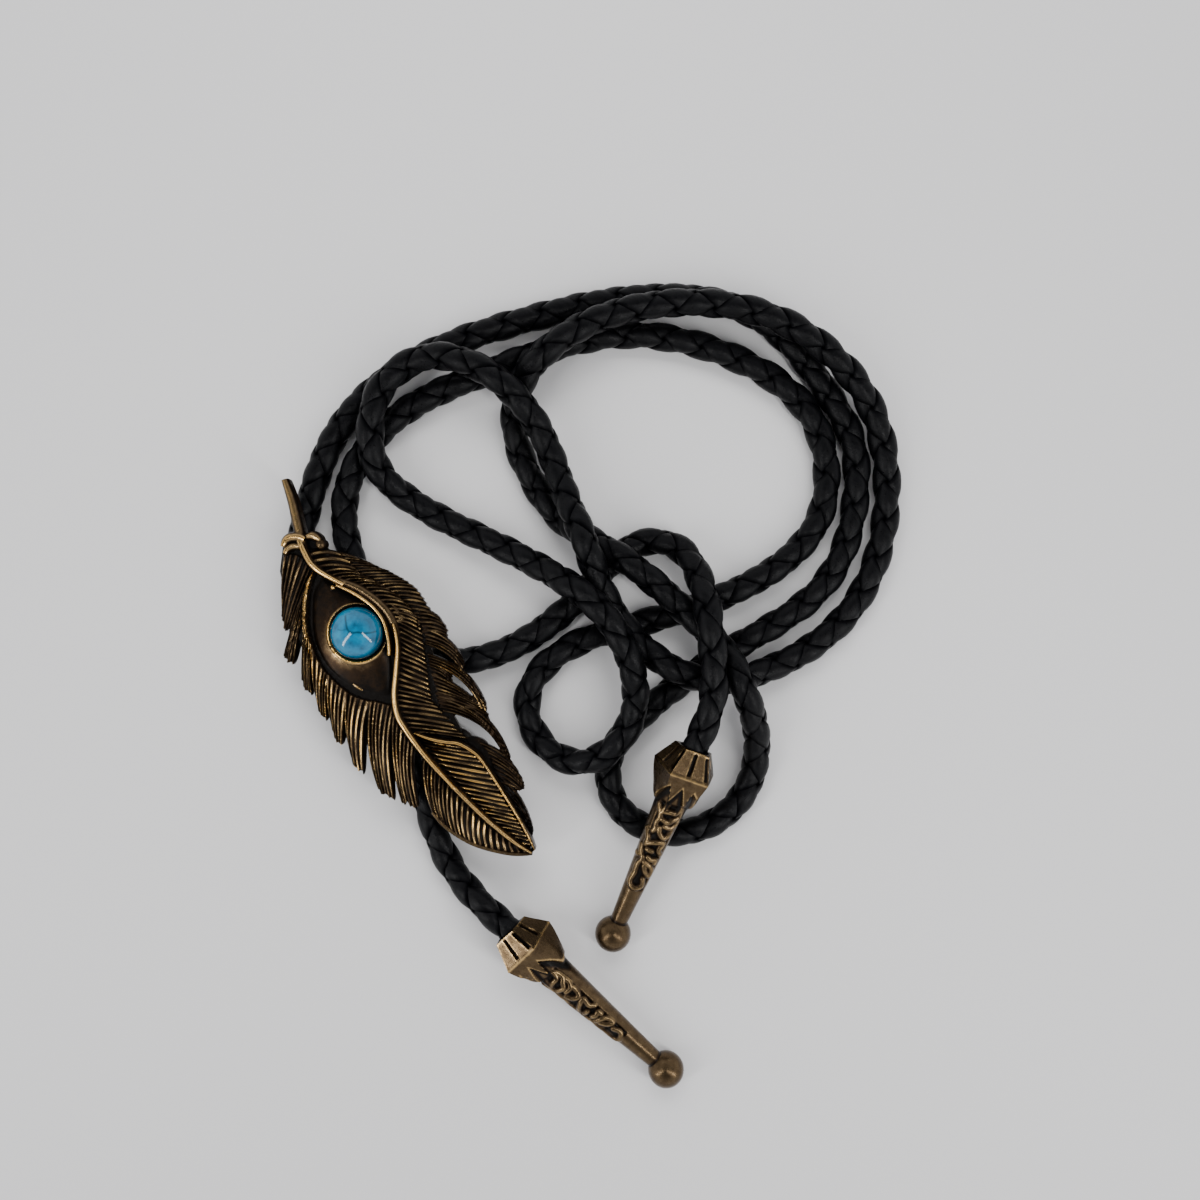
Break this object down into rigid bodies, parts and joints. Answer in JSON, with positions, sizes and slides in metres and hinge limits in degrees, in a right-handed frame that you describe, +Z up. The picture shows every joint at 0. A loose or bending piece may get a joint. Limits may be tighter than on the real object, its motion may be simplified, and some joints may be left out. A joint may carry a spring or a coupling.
{
  "type": "bolo tie",
  "caption": "Bolo tie with a cast feather slide, a round blue stone, a braided black cord laid in loose turns, and cast tips with ball ends.",
  "frame": {"origin": "middle of the flat back of the clip behind the feather slide, on the surface that the tie lies on", "axes": "+Z up from the surface, +X to the right of the laid-out tie, +Y towards the top of its neck loop"},
  "size_m": [0.1007, 0.132, 0.0146],
  "materials": {
    "cast_brass": "antique cast brass, worn bright on its ridges and dark in its recesses",
    "turquoise": "polished turquoise blue with a thin dark vein",
    "clip_metal": "plain dull brass",
    "cord_leather": "black braided strips with a satin sheen"
  },
  "bodies": {
    "root": {"feather": "cast_brass", "cabochon": "turquoise", "back_clip": "clip_metal", "cord": "cord_leather", "tip_a": "cast_brass", "tip_b": "cast_brass"}
  },
  "joints": []
}
